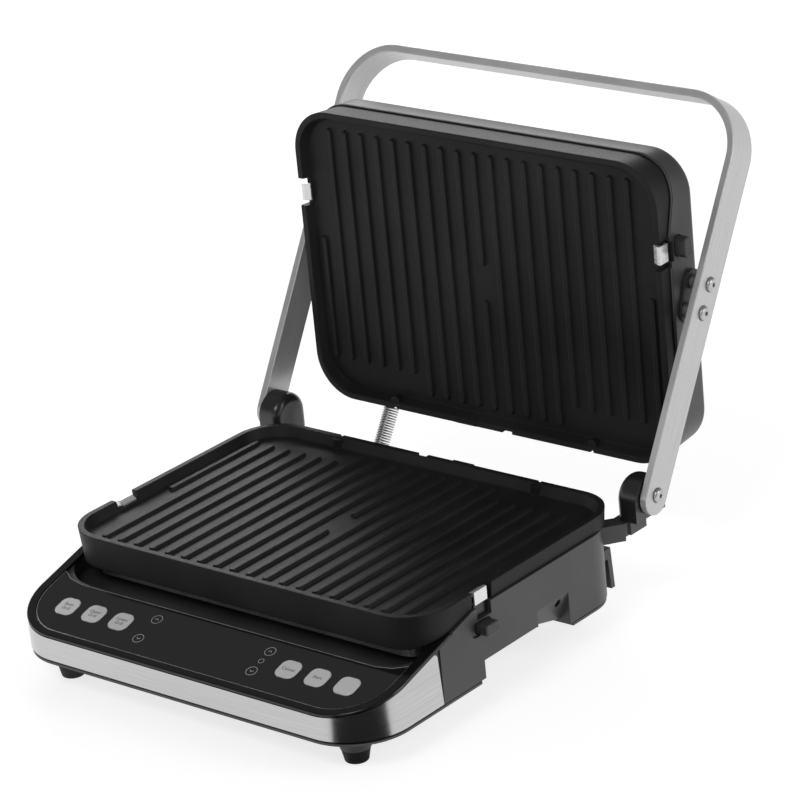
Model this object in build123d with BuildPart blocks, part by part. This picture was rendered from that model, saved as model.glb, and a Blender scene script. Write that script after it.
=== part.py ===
from build123d import *
import math
import os

os.makedirs("parts", exist_ok=True)

# Two-plate contact grill, shown open with its lid upright.
# World frame: origin on the table below the middle of the base, X right, Y back, Z up. Units: mm.

# Removable grill plates. Both plates are the same part.
plate_width = 295.0
plate_depth = 203.0
plate_corner = 30.0
plate_draft = 5.0
skirt_short = 10.8
skirt_long = 22.0
rim_width = 4.0
tray_depth = 6.6
tray_draft = 24.0
floor_thickness = 3.4
rib_count = 19
rib_pitch = 13.48
rib_width = 5.0
rib_height = 2.0
rib_draft = 18.0
rib_front = 12.8
rib_rear_short = 177.6
rib_rear_long = 191.1
short_rib_count = 5
centre_gap_front = 90.1
centre_gap_rear = 113.6
side_rib_x = 134.7
clip_y = 59.0
clip_notch_length = 19.0
clip_lip_drop = 4.5
clip_lip_edge = 143.8
locating_notch_x = 82.0
locating_boss_radius = 3.6

# Heating parts below each plate, measured down from the rim plane.
heater_radius = 3.2
heater_depth = 15.0
heater_half_width = 112.0
heater_front = 34.0
heater_rear = 168.0
heater_middle_front = 118.0
reflector_half_width = 134.0
reflector_front = 12.0
reflector_rear = 190.0
reflector_top = 20.0
reflector_bottom = 31.0
reflector_sheet = 1.0
reflector_corner = 14.0
support_radius = 4.0

# Base.
rim_height = 81.0
plate_front = -70.0
base_half_width = 148.0
base_front = -128.0
base_rear = 128.0
base_front_radius = 40.0
base_rear_radius = 30.0
wall = 3.0
wall_top = 70.0
wall_bottom = 22.7
cover_bottom = 20.0
cover_lip = 2.0
hearth_floor = 46.0
hearth_deck = 2.5
hearth_front = -78.6
hearth_wall = 3.5
panel_slope = 0.283
panel_mid_y = -92.4
panel_mid_z = 49.9
panel_front_y = -123.0
panel_rear_y = -81.3
panel_end_y = -74.5
panel_end_x = 141.0
panel_straight_x = 120.0
panel_corner = 34.0
panel_thickness = 1.4
frame_thickness = 1.5
frame_rise = 0.5
frame_end_y = -42.2
seat_drop = 1.6
deck_thickness = 2.5
band_thickness = 0.9
band_gap = 0.1
band_drop = 1.7
band_rear_y = -54.9
band_tip_radius = 3.0

# Side hand recesses in the base.
recess_front = -14.5
recess_mid = 36.6
recess_rear = 70.0
recess_top = 34.5
recess_inner_x = 118.5
recess_hole_radius = 2.6

# Keys on the control panel.
key_x = (68.7, 91.5, 114.3)
key_y = -101.5
key_size = 15.0
key_corner = 5.0
key_gap = 0.3
key_rise = 0.3
key_stem_radius = 2.2
key_stem_end = -8.5
board_drop = 11.0
board_thickness = 1.6
switch_height = 1.6

# Feet.
foot_places = [(-116.7, -102), (116.7, -102), (-112, 114), (112, 114)]
foot_radius = 7.3
foot_height = 9.0
foot_taper = 12.0
post_radius = 9.6
cover_screw_places = [(-96, -80), (96, -80), (-96, 100), (96, 100)]

# Handle and hinge.
hinge_y = 149.0
hinge_z = rim_height
arm_lean = 30.85
arm_outer_x = 161.6
arm_thickness = 5.0
arm_width = 22.4
arm_length = 254.0
arm_bend = 40.0
arm_end = -1.8
lid_pivot_distance = 135.6
guide_distance = 117.1
hinge_screw_radius = 3.0
lid_screw_radius = 2.5
running_gap = 0.05
boss_radius = 14.5
boss_inner_x = 140.0
boss_outer_x = 156.0
boss_rounding = 2.5
boss_foot_rear = 151.0
bracket_inner_x = 137.0
bracket_outer_x = 150.0
bracket_top = 66.0
bracket_bottom = 57.0
bracket_step = 2.8
screw_head_radius = 4.6
screw_head_height = 2.6
spacer_radius = 5.0
spacer_inner_x = 148.9
nut_inner_x = 138.2
nut_thickness = 3.8

# Lid, measured in the frame of the upper plate.
lid_rim_y = 187.5
lid_free_z = 282.5
lid_depth = 42.0
lid_half_width = 148.0
lid_top_wall = 11.0
lid_draft = 5.0
lid_back = 2.5
lid_back_fillet = 6.0
lid_inner_half_width = 142.5
pad_outer_x = 148.6
pad_radius = 8.0
guide_sweep = 17.2
lid_lug_bottom = 73.0

# Plate release catches and buttons.
catch_width = 12.0
catch_thickness = 1.2
catch_inner_x = 145.2
catch_tip_x = 140.6
catch_top_drop = 1.2
catch_step_drop = 9.9
catch_gap = 0.1
catch_step_in = catch_inner_x - clip_lip_edge - catch_gap
button_length = 13.5
button_height = 8.0
button_corner = 3.4
button_gap = 0.4
button_proud = 7.6
base_button_y = 57.5
base_button_z = -24.5
lid_button_y = 57.5
lid_button_z = -19.5
base_catch_foot = 18.4
lid_catch_foot = 13.6
socket_length = 20.0
socket_height = 9.4

# Cable sleeve between base and lid.
sleeve_x = -97.0
sleeve_low_z = 38.0
sleeve_bend = 28.0
sleeve_rise = 56.6
sleeve_start_y = 121.0
sleeve_run = 42.2
sleeve_length = 114.0
coil_radius = 4.65
coil_wire = 0.5
coil_pitch = 1.75
collar_radius = 6.6

tilt = math.degrees(math.atan(panel_slope))
half_depth = plate_depth / 2
arm_inner_x = arm_outer_x - arm_thickness
lower_frame = Plane(origin=(0, plate_front, rim_height), x_dir=(1, 0, 0), z_dir=(0, 0, 1))
upper_frame = Plane(origin=(0, lid_rim_y, lid_free_z), x_dir=(-1, 0, 0), z_dir=(0, -1, 0))
panel_frame_plane = Plane(
    origin=(0, panel_mid_y, panel_mid_z),
    x_dir=(1, 0, 0),
    z_dir=(0, -math.sin(math.radians(tilt)), math.cos(math.radians(tilt))),
)
arm_plane = Plane(
    origin=(0, hinge_y, hinge_z),
    x_dir=(1, 0, 0),
    z_dir=(0, -math.cos(math.radians(arm_lean)), math.sin(math.radians(arm_lean))),
)
arm_side = Plane(origin=arm_plane.origin, x_dir=arm_plane.y_dir, z_dir=(1, 0, 0))
rise = math.radians(sleeve_rise)
sleeve_end_plane = Plane(
    origin=(
        sleeve_x,
        sleeve_start_y + sleeve_run + sleeve_bend * math.sin(rise) + 40 * math.cos(rise),
        sleeve_low_z + sleeve_bend * (1 - math.cos(rise)) + 40 * math.sin(rise),
    ),
    x_dir=(1, 0, 0),
    z_dir=(0, math.cos(rise), math.sin(rise)),
)


def panel_height(y, drop=0.0):
    """Height of the sloping panel surface at depth y, less a drop."""
    return panel_mid_z + panel_slope * (y - panel_mid_y) - drop


def on_slope(y):
    """Distance along the sloping panel plane for depth y."""
    return (y - panel_mid_y) / math.cos(math.radians(tilt))


def side_plane(frame, x=0.0):
    """Plane across a plate frame: its x runs from free edge to hinge edge, its y runs out of the plate."""
    return Plane(origin=frame.origin + frame.x_dir * x, x_dir=frame.y_dir, z_dir=frame.x_dir)


def world_side(x):
    """Plane square to X at the given x: its x is world Y and its y is world Z."""
    return Plane(origin=(x, 0, 0), x_dir=(0, 1, 0), z_dir=(1, 0, 0))


def outline(z, inset):
    """Top-view outline of the base, drawn in from its full size by the inset."""
    with BuildSketch(Plane.XY.offset(z)) as shape:
        with Locations((0, (base_front + base_rear) / 2)):
            Rectangle(2 * (base_half_width - inset), base_rear - base_front - 2 * inset)
        corners = shape.vertices().sort_by(Axis.Y)
        fillet(corners[:2], base_front_radius - inset)
        corners = shape.vertices().filter_by(lambda v: v.Y > base_rear - inset - 0.01)
        fillet(corners, base_rear_radius - inset)
    return shape.sketch


def profile(points, x0, x1):
    """Solid with a side-view polygon, from x0 to x1."""
    with BuildPart() as body:
        with BuildSketch(world_side(x0)):
            with BuildLine():
                Polyline(*points, close=True)
            make_face()
        extrude(amount=x1 - x0)
    return body.part


def arm_point(distance):
    """World (y, z) of a point on the handle arm's centre line."""
    lean = math.radians(arm_lean)
    return hinge_y + distance * math.sin(lean), hinge_z + distance * math.cos(lean)


def rib_spans():
    """Centre x and the two ends of every rib on a plate."""
    spans = []
    for number in range(rib_count):
        x = (number - rib_count // 2) * rib_pitch
        short = number < short_rib_count or number >= rib_count - short_rib_count
        rear = rib_rear_short if short else rib_rear_long
        if number == rib_count // 2:
            spans.append((x, rib_front, centre_gap_front))
            spans.append((x, centre_gap_rear, rear))
        else:
            spans.append((x, rib_front, rear))
    for side in (-1, 1):
        spans.append((side * side_rib_x, centre_gap_front, rib_rear_short))
    return spans


def grill_plate(frame):
    """Ribbed tray plate with a deep skirt at its free edge."""
    with BuildPart() as plate:
        with BuildSketch(frame):
            with Locations((0, half_depth)):
                RectangleRounded(plate_width, plate_depth, plate_corner)
        extrude(amount=-skirt_long, taper=plate_draft)
        # Side and rear skirts are shorter than the front one, with a slope between.
        with BuildSketch(side_plane(frame, -plate_width)):
            with BuildLine():
                Polyline(
                    (6.2, -skirt_long - 1),
                    (6.2, -skirt_long),
                    (45.8, -skirt_short),
                    (plate_depth + 1, -skirt_short),
                    (plate_depth + 1, -skirt_long - 1),
                    close=True,
                )
            make_face()
        extrude(amount=2 * plate_width, mode=Mode.SUBTRACT)
        # Hollow underside.
        with BuildSketch(frame.offset(-skirt_long - 1)):
            with Locations((0, half_depth)):
                RectangleRounded(plate_width - 10, plate_depth - 10, plate_corner - 5)
        extrude(amount=skirt_long + 1 - tray_depth - floor_thickness, mode=Mode.SUBTRACT)
        # Tray with sloping inner walls.
        with BuildSketch(frame):
            with Locations((0, half_depth)):
                RectangleRounded(
                    plate_width - 2 * rim_width, plate_depth - 2 * rim_width, plate_corner - rim_width
                )
        extrude(amount=-tray_depth, taper=tray_draft, mode=Mode.SUBTRACT)
        # Ribs.
        with BuildSketch(frame.offset(-tray_depth)):
            for x, front, rear in rib_spans():
                with Locations((x, (front + rear) / 2)):
                    SlotOverall(rear - front, rib_width, rotation=90)
        extrude(amount=rib_height, taper=rib_draft)
        # Side notches: a lowered lip for the catch and a gap in the skirt.
        for side in (-1, 1):
            with BuildSketch(frame.offset(-clip_lip_drop)):
                with Locations((side * (plate_width / 2 - 4), clip_y)):
                    Rectangle(10, clip_notch_length)
            extrude(amount=clip_lip_drop + 1, mode=Mode.SUBTRACT)
            with BuildSketch(frame.offset(-skirt_long)):
                with Locations((side * (clip_lip_edge + 5), clip_y)):
                    Rectangle(10, clip_notch_length)
            extrude(amount=skirt_long + 1, mode=Mode.SUBTRACT)
        # Hinge-side rim: two locating bosses, each with a notch behind it.
        with BuildSketch(frame.offset(-tray_depth)):
            with Locations((-locating_notch_x, plate_depth - 5), (locating_notch_x, plate_depth - 5)):
                Circle(locating_boss_radius)
        extrude(amount=tray_depth - 0.6)
        with BuildSketch(frame.offset(-3)):
            with Locations((-locating_notch_x, plate_depth), (locating_notch_x, plate_depth)):
                Rectangle(2.4, 3)
            with Locations((-13, plate_depth)):
                Rectangle(8, 6)
        extrude(amount=4, mode=Mode.SUBTRACT)
        with BuildSketch(frame.offset(-1)):
            with Locations((20.6, plate_depth - 1.8)):
                Rectangle(16.7, 3.0)
        extrude(amount=1.9)
    return plate.part


def heater_rod(frame):
    """Bent tubular heating rod with two terminals that leave through the reflector."""
    low = -reflector_bottom - 7
    level = -heater_depth
    inner = 22.0
    with BuildPart() as rod:
        with BuildLine(frame) as path:
            FilletPolyline(
                (-inner, heater_rear, low),
                (-inner, heater_rear, level),
                (-heater_half_width, heater_rear, level),
                (-heater_half_width, heater_front, level),
                (-inner * 2, heater_front, level),
                (-inner * 2, heater_middle_front, level),
                (inner * 2, heater_middle_front, level),
                (inner * 2, heater_front, level),
                (heater_half_width, heater_front, level),
                (heater_half_width, heater_rear, level),
                (inner, heater_rear, level),
                (inner, heater_rear, low),
                radius=10,
            )
        with BuildSketch(Plane(origin=path.line @ 0, z_dir=path.line % 0)):
            Circle(heater_radius)
        sweep()
    return rod.part


def reflector_tray(frame):
    """Bright sheet tray below the heating rod, with rod supports and two terminal holes."""
    length = reflector_rear - reflector_front
    middle = (reflector_front + reflector_rear) / 2
    support_top = heater_depth + heater_radius + 0.05
    with BuildPart() as tray:
        with BuildSketch(frame.offset(-reflector_bottom)):
            with Locations((0, middle)):
                RectangleRounded(2 * reflector_half_width, length, reflector_corner)
        extrude(amount=reflector_bottom - reflector_top)
        with BuildSketch(frame.offset(-reflector_bottom + reflector_sheet)):
            with Locations((0, middle)):
                RectangleRounded(
                    2 * (reflector_half_width - reflector_sheet),
                    length - 2 * reflector_sheet,
                    reflector_corner - reflector_sheet,
                )
        extrude(amount=reflector_bottom, mode=Mode.SUBTRACT)
        with BuildSketch(frame.offset(-reflector_bottom + reflector_sheet)):
            for side in (-1, 1):
                with Locations(
                    (side * heater_half_width, 70), (side * heater_half_width, 140), (side * 44, 80)
                ):
                    Circle(support_radius)
        extrude(amount=reflector_bottom - reflector_sheet - support_top)
        with BuildSketch(frame.offset(-reflector_bottom - 1)):
            with Locations((-22, heater_rear), (22, heater_rear)):
                Circle(heater_radius + 1.5)
        extrude(amount=4, mode=Mode.SUBTRACT)
    return tray.part


def catch(frame, side, foot_drop):
    """Sheet catch that hooks over the lip in a plate's side notch."""
    outer = catch_inner_x + catch_thickness
    flip = -side
    section = [
        (catch_tip_x, -clip_lip_drop + catch_thickness + catch_gap),
        (catch_inner_x - 0.8, -catch_top_drop),
        (outer, -catch_top_drop),
        (outer, -catch_step_drop),
        (outer - catch_step_in, -catch_step_drop),
        (outer - catch_step_in, -foot_drop),
        (catch_inner_x - 7, -foot_drop),
        (catch_inner_x - 7, catch_thickness - foot_drop),
        (catch_inner_x - catch_step_in, catch_thickness - foot_drop),
        (catch_inner_x - catch_step_in, catch_thickness - catch_step_drop),
        (catch_inner_x, catch_thickness - catch_step_drop),
        (catch_inner_x, -clip_lip_drop + catch_gap),
        (catch_tip_x, -clip_lip_drop + catch_gap),
    ]
    start = frame.origin + frame.y_dir * (clip_y - catch_width / 2)
    with BuildPart() as hook:
        with BuildSketch(Plane(origin=start, x_dir=frame.x_dir * side, z_dir=frame.y_dir)):
            with BuildLine():
                Polyline(*[(x, flip * z) for x, z in section], close=True)
            make_face()
        extrude(amount=catch_width)
    return hook.part


def release_button(frame, side, y, z, wall_inner):
    """Push button with a rounded face outside the wall and a retaining flange inside."""
    inner_end = wall_inner - 5
    with BuildPart() as button:
        with BuildSketch(side_plane(frame, side * inner_end)):
            with Locations((y, z)):
                RectangleRounded(button_length, button_height, button_corner)
        extrude(amount=side * (base_half_width + button_proud - inner_end))
        face = button.faces().sort_by(Axis((0, 0, 0), frame.x_dir * side))[-1]
        fillet(face.edges(), 1.2)
        with BuildSketch(side_plane(frame, side * (wall_inner - 2))):
            with Locations((y, z)):
                RectangleRounded(button_length + 3, button_height - 0.6, 2)
        extrude(amount=side * 1.6)
    return button.part


def domed_screw(x_in, x_face, y, z, radius):
    """Domed screw along X on both sides, with its head outside x_face."""
    with BuildPart() as screw:
        for side in (-1, 1):
            with BuildSketch(world_side(side * x_in)):
                with Locations((y, z)):
                    Circle(radius)
            extrude(amount=side * (x_face - x_in + 0.05))
            with BuildSketch(world_side(side * (x_face + 0.05))):
                with Locations((y, z)):
                    Circle(screw_head_radius)
            extrude(amount=side * screw_head_height)
        for side in (-1, 1):
            faces = screw.faces().sort_by(lambda f: side * f.center().X)
            fillet(faces[-1].edges(), 1.9)
            with BuildSketch(world_side(side * (x_face + screw_head_height - 1.1))):
                with Locations((y, z)):
                    RegularPolygon(1.6, 6)
            extrude(amount=side * 2, mode=Mode.SUBTRACT)
    return screw.part


# Base housing: space inside it, below the hearth deck and the sloping front deck.
with BuildPart() as base_space:
    add(outline(wall_bottom - 1, wall))
    extrude(amount=60)
    inner_front = base_front + wall
    front_drop = seat_drop + deck_thickness
    hearth_edge = hearth_front - hearth_wall
    add(
        profile(
            [
                (inner_front - 1, wall_bottom - 2),
                (inner_front - 1, panel_height(inner_front - 1, front_drop)),
                (hearth_edge, panel_height(hearth_edge, front_drop)),
                (hearth_edge, hearth_floor - hearth_deck),
                (base_rear, hearth_floor - hearth_deck),
                (base_rear, wall_bottom - 2),
            ],
            -base_half_width,
            base_half_width,
        ),
        mode=Mode.INTERSECT,
    )
    for side in (-1, 1):
        with BuildSketch(Plane.XY.offset(wall_bottom - 2)):
            with Locations((side * (recess_inner_x - wall + 40), (recess_front + recess_rear) / 2)):
                Rectangle(80, recess_rear - recess_front + 2 * wall)
        extrude(amount=60, mode=Mode.SUBTRACT)

with BuildPart() as base_housing:
    add(outline(wall_bottom, 0))
    extrude(amount=wall_top - wall_bottom)
    slope_end = panel_mid_y + (wall_top - panel_mid_z) / panel_slope
    add(
        profile(
            [
                (base_front - 1, wall_bottom),
                (base_front - 1, panel_height(base_front - 1, seat_drop)),
                (frame_end_y, panel_height(frame_end_y, seat_drop)),
                (frame_end_y, panel_height(frame_end_y)),
                (slope_end, wall_top),
                (base_rear + 1, wall_top),
                (base_rear + 1, wall_bottom),
            ],
            -base_half_width - 1,
            base_half_width + 1,
        ),
        mode=Mode.INTERSECT,
    )
    # Hinge brackets behind the rear corners.
    for side in (-1, 1):
        bracket_front = hinge_y - boss_radius
        for bottom, rear in ((bracket_bottom, boss_foot_rear), (bracket_bottom - bracket_step, 131)):
            with BuildSketch(Plane.XY.offset(bottom)):
                with BuildLine():
                    Polyline(
                        (side * (bracket_outer_x - 20), 112),
                        (side * (bracket_outer_x - 10.5), 119),
                        (side * (bracket_outer_x - 1.5), 131),
                        (side * (bracket_outer_x - 1.5), bracket_front),
                        (side * bracket_outer_x, bracket_front),
                        (side * bracket_outer_x, boss_foot_rear),
                        (side * bracket_inner_x, boss_foot_rear),
                        (side * bracket_inner_x, bracket_front),
                        (side * (bracket_outer_x - 20), 126),
                        close=True,
                    )
                make_face()
                with Locations((side * bracket_outer_x, rear + 30)):
                    Rectangle(80, 60, mode=Mode.SUBTRACT)
            extrude(amount=bracket_top - bottom)
    # Hearth below the lower plate.
    with BuildSketch(Plane.XY.offset(hearth_floor)):
        with Locations((0, (hearth_front + base_rear - hearth_wall) / 2)):
            RectangleRounded(
                2 * (base_half_width - hearth_wall), base_rear - hearth_wall - hearth_front, 26
            )
    extrude(amount=40, mode=Mode.SUBTRACT)
    add(base_space.part, mode=Mode.SUBTRACT)
    # Step around the front for the steel band.
    add(
        profile(
            [
                (base_front - 2, wall_bottom - 1),
                (base_front - 2, wall_top),
                (band_rear_y + 0.3, wall_top),
                (band_rear_y + 0.3, wall_bottom - 1),
            ],
            -base_half_width - 2,
            base_half_width + 2,
        )
        - extrude(outline(wall_bottom - 2, band_thickness + band_gap), amount=60, mode=Mode.PRIVATE),
        mode=Mode.SUBTRACT,
    )
    # Hand recesses, with a sloping rear facet and a small hole in it.
    for side in (-1, 1):
        add(
            profile(
                [
                    (recess_front, wall_bottom - 3),
                    (recess_front, recess_top),
                    (recess_mid, recess_top),
                    (recess_rear, wall_bottom + 2),
                    (recess_rear, wall_bottom - 3),
                ],
                side * recess_inner_x,
                side * (base_half_width + 2),
            ),
            mode=Mode.SUBTRACT,
        )
        with BuildSketch(Plane(origin=(0, recess_mid + 2, 0), x_dir=(side, 0, 0), z_dir=(0, 1, 0))) as cut:
            flip = 1 if cut.workplanes[0].y_dir.Z > 0 else -1
            with BuildLine():
                Polyline(
                    (base_half_width + 1, flip * 47.0),
                    (base_half_width + 1, flip * (wall_bottom - 1)),
                    (base_half_width - 9, flip * (wall_bottom - 1)),
                    close=True,
                )
            make_face()
        extrude(amount=recess_rear - recess_mid - 2, mode=Mode.SUBTRACT)
        with BuildSketch(world_side(side * (base_half_width - 14))):
            with Locations((recess_rear - 9, 40)):
                Circle(recess_hole_radius)
        extrude(amount=side * 20, mode=Mode.SUBTRACT)
    # Openings for catches, release button and key stems.
    for side in (-1, 1):
        with BuildSketch(world_side(side * (base_half_width - 9))):
            with Locations((plate_front + clip_y, wall_top - 3)):
                Rectangle(catch_width + 1.4, 10)
        extrude(amount=side * 12, mode=Mode.SUBTRACT)
    with BuildSketch(world_side(base_half_width - 9)):
        with Locations((plate_front + base_button_y, rim_height + base_button_z)):
            RectangleRounded(
                button_length + 2 * button_gap, button_height + 2 * button_gap, button_corner + button_gap
            )
    extrude(amount=12, mode=Mode.SUBTRACT)
    with BuildSketch(world_side(base_half_width - 1.4)):
        with Locations((plate_front + base_button_y - 2.2, rim_height + base_button_z)):
            RectangleRounded(socket_length, socket_height, 4.4)
    extrude(amount=4, mode=Mode.SUBTRACT)
    with BuildSketch(panel_frame_plane.offset(-14)):
        for x in key_x:
            with Locations((x, on_slope(key_y)), (-x, on_slope(key_y))):
                Circle(key_stem_radius + key_gap)
    extrude(amount=14, mode=Mode.SUBTRACT)
    with BuildSketch(panel_frame_plane.offset(0.05 - board_drop)):
        for y in (on_slope(key_y) - 9, on_slope(key_y) + 11):
            with Locations((-120, y), (-40, y), (40, y), (120, y)):
                Circle(2.5)
    extrude(amount=board_drop - seat_drop - 1)
    # Terminal holes, reflector posts, screw posts and the openings for the sleeve and cord glands.
    with BuildSketch(Plane.XY.offset(hearth_floor - hearth_deck - 1)):
        with Locations((-22, plate_front + heater_rear), (22, plate_front + heater_rear)):
            Circle(heater_radius + 1.5)
    extrude(amount=6, mode=Mode.SUBTRACT)
    with BuildSketch(Plane.XY.offset(hearth_floor)):
        for x in (-100, 100):
            with Locations((x, -30), (x, 90)):
                Circle(support_radius)
    extrude(amount=rim_height - reflector_bottom - hearth_floor - 0.05)
    with BuildSketch(Plane.XY.offset(cover_bottom + cover_lip + 2.3)):
        with Locations(*cover_screw_places):
            Circle(4.5)
    extrude(amount=hearth_floor - hearth_deck - cover_bottom - cover_lip - 2)
    with BuildSketch(Plane.XY.offset(cover_bottom + cover_lip + 2)):
        with Locations(*cover_screw_places):
            Circle(1.55)
    extrude(amount=11, mode=Mode.SUBTRACT)
    with BuildSketch(Plane.XZ.offset(-base_rear - 1)):
        with Locations((sleeve_x, sleeve_low_z)):
            Circle(coil_radius + 1.6)
        with Locations((-sleeve_x, sleeve_low_z)):
            Circle(6.0)
    extrude(amount=12, mode=Mode.SUBTRACT)

with BuildPart() as bottom_cover:
    add(outline(cover_bottom, 0.6))
    extrude(amount=cover_lip)
    add(outline(cover_bottom + cover_lip, wall + 0.3))
    extrude(amount=2)
    for side in (-1, 1):
        with BuildSketch(Plane.XY.offset(cover_bottom - 1)):
            with Locations((side * (recess_inner_x - wall - 0.3 + 40), (recess_front + recess_rear) / 2)):
                Rectangle(80, recess_rear - recess_front + 2 * wall + 0.6)
        extrude(amount=8, mode=Mode.SUBTRACT)
    # Moulded posts that carry the rubber feet.
    with BuildSketch(Plane.XY.offset(foot_height)):
        with Locations(*foot_places):
            Circle(post_radius)
    extrude(amount=cover_bottom - foot_height + 0.5)
    # Counterbored screw holes.
    for x, y in cover_screw_places:
        with BuildSketch(Plane.XY.offset(cover_bottom - 1)):
            with Locations((x, y)):
                Circle(1.7)
        extrude(amount=8, mode=Mode.SUBTRACT)
        with BuildSketch(Plane.XY.offset(cover_bottom - 1)):
            with Locations((x, y)):
                Circle(3.3)
        extrude(amount=2.8, mode=Mode.SUBTRACT)
    # Air slots across the middle of the floor.
    with BuildSketch(Plane.XY.offset(cover_bottom - 1)):
        with GridLocations(9, 60, 14, 2):
            SlotOverall(36, 4, rotation=90)
    extrude(amount=8, mode=Mode.SUBTRACT)

with BuildPart() as cover_screws:
    for x, y in cover_screw_places:
        with BuildSketch(Plane.XY.offset(cover_bottom)):
            with Locations((x, y)):
                Circle(3.0)
        extrude(amount=1.7)
        with BuildSketch(Plane.XY.offset(cover_bottom + 1.7)):
            with Locations((x, y)):
                Circle(1.5)
        extrude(amount=10)
        with BuildSketch(Plane.XY.offset(cover_bottom)):
            with Locations((x, y)):
                RegularPolygon(1.3, 6)
        extrude(amount=1.1, mode=Mode.SUBTRACT)

with BuildPart() as rubber_feet:
    with BuildSketch(Plane.XY.offset(foot_height - 0.02)):
        with Locations(*foot_places):
            Circle(foot_radius + foot_height * math.tan(math.radians(foot_taper)))
    extrude(amount=0.02 - foot_height, taper=foot_taper)
    fillet(rubber_feet.edges().filter_by(lambda e: e.center().Z < 0.01), 1.2)

# Side view of the steel band: it rises with the slope to a rounded tip, then drops straight.
with BuildPart() as band_side:
    with BuildSketch(world_side(-base_half_width - 1)) as band_shape:
        with BuildLine():
            Polyline(
                (base_front - 1, wall_bottom - 1),
                (base_front - 1, panel_height(base_front - 1, band_drop)),
                (band_rear_y - 2.5, panel_height(band_rear_y - 2.5, band_drop)),
                (band_rear_y, wall_bottom - 1),
                close=True,
            )
        make_face()
        fillet(band_shape.vertices().sort_by(Axis.Y)[-1:], band_tip_radius)
    extrude(amount=2 * base_half_width + 2)

with BuildPart() as steel_band:
    add(outline(wall_bottom + 0.3, 0))
    extrude(amount=40)
    add(extrude(outline(wall_bottom, band_thickness), amount=60, mode=Mode.PRIVATE), mode=Mode.SUBTRACT)
    add(band_side.part, mode=Mode.INTERSECT)

# Control panel outline on the sloping plane, with corners that follow the base.
with BuildPart() as control_panel:
    with BuildSketch(panel_frame_plane.offset(-frame_thickness + 0.02)) as panel_shape:
        front = on_slope(panel_front_y)
        rear = on_slope(panel_rear_y)
        end = on_slope(panel_end_y)
        with BuildLine():
            right_corner = RadiusArc(
                (panel_end_x - panel_corner, front), (panel_end_x, front + panel_corner), -panel_corner
            )
            right_side = Line(right_corner @ 1, (panel_end_x, end))
            right_rear = ThreePointArc(
                right_side @ 1, (panel_straight_x + 12, rear + 2.4), (panel_straight_x, rear)
            )
            rear_line = Line(right_rear @ 1, (-panel_straight_x, rear))
            left_rear = ThreePointArc(
                rear_line @ 1, (-panel_straight_x - 12, rear + 2.4), (-panel_end_x, end)
            )
            left_side = Line(left_rear @ 1, (-panel_end_x, front + panel_corner))
            left_corner = RadiusArc(
                left_side @ 1, (panel_corner - panel_end_x, front), -panel_corner
            )
            Line(left_corner @ 1, right_corner @ 0)
        make_face()
    extrude(amount=panel_thickness)
    chamfer(control_panel.faces().sort_by(Axis.Z)[-1].edges(), 0.3)
    with BuildSketch(panel_frame_plane.offset(-frame_thickness - 1)):
        for x in key_x:
            with Locations((x, on_slope(key_y)), (-x, on_slope(key_y))):
                RectangleRounded(key_size + 2 * key_gap, key_size + 2 * key_gap, key_corner + key_gap)
    extrude(amount=5, mode=Mode.SUBTRACT)

# Rounded moulding around the panel's front and sides, with a fine groove along its crest.
with BuildPart() as panel_frame:
    with BuildSketch(panel_frame_plane.offset(-frame_thickness)) as frame_shape:
        frame_low = on_slope(base_front)
        frame_high = on_slope(frame_end_y) - 0.7
        with Locations((0, (frame_low + frame_high) / 2)):
            Rectangle(2 * base_half_width, frame_high - frame_low)
        fillet(frame_shape.vertices().sort_by(Axis.Y)[:2], base_front_radius)
    extrude(amount=frame_thickness + frame_rise)
    crest = panel_frame.faces().sort_by(Axis(panel_frame_plane.origin, panel_frame_plane.z_dir))[-1]
    fillet(crest.edges().filter_by(lambda e: e.center().Y < frame_end_y - 1), 1.3)
    with BuildSketch(panel_frame_plane.offset(-6)):
        frame_front = on_slope(panel_front_y) - 0.2
        frame_x = panel_end_x + 0.2
        frame_corner = panel_corner + 0.2
        with BuildLine():
            corner_a = RadiusArc(
                (frame_x - frame_corner, frame_front), (frame_x, frame_front + frame_corner), -frame_corner
            )
            corner_b = RadiusArc(
                (-frame_x, frame_front + frame_corner), (frame_corner - frame_x, frame_front), -frame_corner
            )
            Polyline(corner_a @ 1, (frame_x, 80), (-frame_x, 80), corner_b @ 0)
            Line(corner_b @ 1, corner_a @ 0)
        make_face()
    extrude(amount=12, mode=Mode.SUBTRACT)

with BuildPart() as control_board:
    with BuildSketch(panel_frame_plane.offset(-board_drop - board_thickness)):
        with Locations((0, on_slope(key_y) + 1)):
            Rectangle(250, 26)
    extrude(amount=board_thickness)
    with BuildSketch(panel_frame_plane.offset(-board_drop)):
        for x in key_x:
            with Locations((x, on_slope(key_y)), (-x, on_slope(key_y))):
                Rectangle(6, 6)
    extrude(amount=switch_height)
    with BuildSketch(panel_frame_plane.offset(-board_drop)):
        with Locations((0, on_slope(key_y))):
            Rectangle(60, 18)
    extrude(amount=3)


def panel_key(x):
    """Soft-edged key cap with a stem that reaches down to its switch."""
    with BuildPart() as key:
        with BuildSketch(panel_frame_plane.offset(-panel_thickness + 0.9)):
            with Locations((x, on_slope(key_y))):
                RectangleRounded(key_size, key_size, key_corner)
        extrude(amount=panel_thickness - 0.9 + key_rise)
        fillet(key.faces().sort_by(Axis.Z)[-1].edges(), 0.3)
        with BuildSketch(panel_frame_plane.offset(key_stem_end)):
            with Locations((x, on_slope(key_y))):
                Circle(key_stem_radius)
        extrude(amount=-panel_thickness + 1.0 - key_stem_end)
    return key.part


lower_grill_plate = grill_plate(lower_frame)
lower_heater = heater_rod(lower_frame)
lower_reflector = reflector_tray(lower_frame)

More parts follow.
